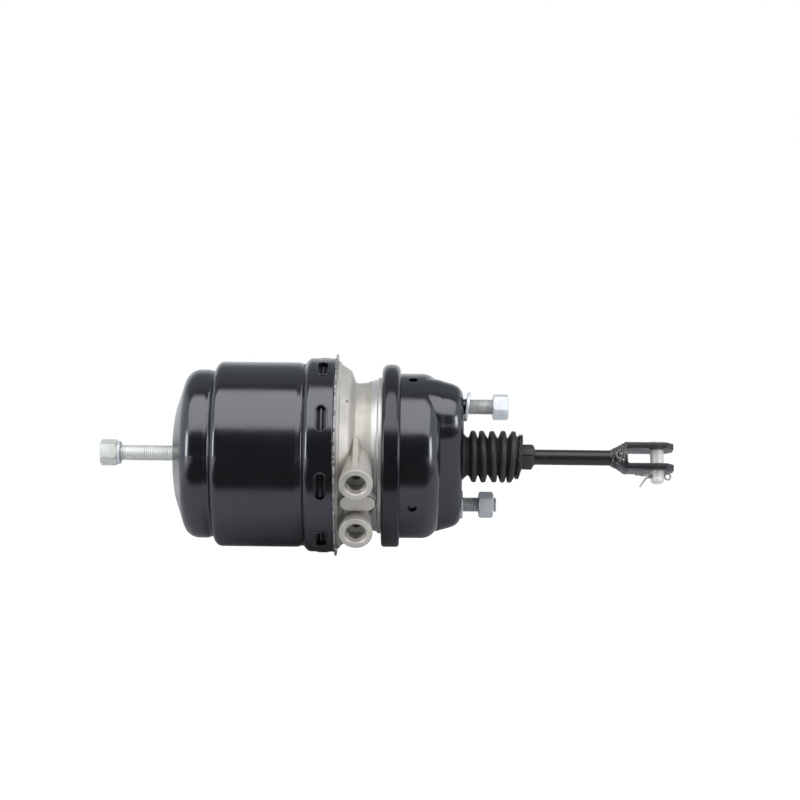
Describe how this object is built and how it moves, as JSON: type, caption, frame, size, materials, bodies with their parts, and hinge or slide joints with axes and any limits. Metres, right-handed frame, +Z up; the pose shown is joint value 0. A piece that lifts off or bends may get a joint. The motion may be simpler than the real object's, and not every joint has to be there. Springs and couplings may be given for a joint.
{
  "type": "air brake chamber",
  "caption": "Spring brake chamber: piston-type spring housing, flange casting with air ports, clamped service housing, booted pushrod and fork clevis.",
  "frame": {"origin": "centre of the mounting face on the service housing, on the pushrod's axis", "axes": "+X along the pushrod towards the clevis, +Z up as in the picture, so the picture looks along +Y"},
  "size_m": [0.5949, 0.23, 0.2092],
  "materials": {
    "black_gloss_paint": "smooth black gloss paint on deep-drawn steel",
    "black_satin_paint": "black satin paint on rolled steel",
    "cast_aluminium": "shot-blasted aluminium casting with machined faces",
    "zinc_steel": "bright zinc plate",
    "release_zinc": "pale zinc plate with a worn thread",
    "pin_zinc": "dull zinc plate",
    "stud_steel": "dull grey thread with black paint at its root",
    "plain_steel": "plain pressed or turned steel",
    "spring_steel": "oiled spring wire",
    "rod_black": "black satin paint over a welded fork",
    "boot_rubber": "matt black moulded rubber",
    "diaphragm_rubber": "fabric-reinforced black rubber",
    "seal_rubber": "smooth black nitrile",
    "guide_plastic": "natural acetal",
    "black_plastic": "black moulded plastic",
    "piston_aluminium": "machined die casting"
  },
  "bodies": {
    "housing": {"spring_housing": "black_gloss_paint", "release_insert": "zinc_steel", "retaining_ring": "spring_steel", "flange_body": "cast_aluminium", "flange_o_ring": "seal_rubber", "guide_bush": "guide_plastic", "tube_seals": "seal_rubber", "diaphragm": "diaphragm_rubber", "clamp_band": "black_satin_paint", "clamp_bolt": "zinc_steel", "clamp_nut": "zinc_steel", "service_housing": "black_gloss_paint", "vent_plugs": "black_plastic", "stud_plates": "plain_steel", "mounting_studs": "stud_steel", "stud_washers": "zinc_steel", "stud_nuts": "zinc_steel", "boot": "boot_rubber", "spring_seat": "plain_steel", "return_spring": "spring_steel", "power_spring": "spring_steel"},
    "piston": {"spring_piston": "piston_aluminium", "piston_seal": "seal_rubber", "piston_guide_ring": "guide_plastic", "piston_tube": "plain_steel", "tube_nose": "guide_plastic"},
    "release_stop": {"thrust_washer": "plain_steel"},
    "release_screw": {"release_bolt": "release_zinc", "release_washer": "release_zinc"},
    "pushrod": {"push_plate": "plain_steel", "push_rod": "rod_black", "clevis": "rod_black"},
    "clevis_pin": {"clevis_pin": "pin_zinc", "split_pin": "zinc_steel"}
  },
  "joints": [
    {"name": "service_stroke", "type": "slide", "parent": "housing", "child": "pushrod", "axis": [1, 0, 0], "range_m": [0, 0.057], "stiffness_N_per_m": 2500, "springref_m": -0.05, "deforming": ["boot", "return_spring", "diaphragm"]},
    {"name": "clevis_pin_turn", "type": "hinge", "parent": "pushrod", "child": "clevis_pin", "pos_m": [0.206, 0, 0], "axis": [0, 0.2504, 0.9681], "continuous": true},
    {"name": "piston_lift", "type": "slide", "parent": "housing", "child": "piston", "axis": [1, 0, 0], "range_m": [-0.003, 0], "stiffness_N_per_m": 100000, "springref_m": 0.05, "deforming": ["power_spring"]},
    {"name": "release_travel", "type": "slide", "parent": "housing", "child": "release_stop", "axis": [1, 0, 0], "range_m": [0, 0.053]},
    {"name": "release_turn", "type": "hinge", "parent": "release_stop", "child": "release_screw", "pos_m": [-0.36, 0, 0], "axis": [1, 0, 0], "range_deg": [0, 9540]}
  ],
  "couplings": [
    {"joint": "release_turn", "follows": "release_travel", "rad_per_m": 3141.6}
  ]
}
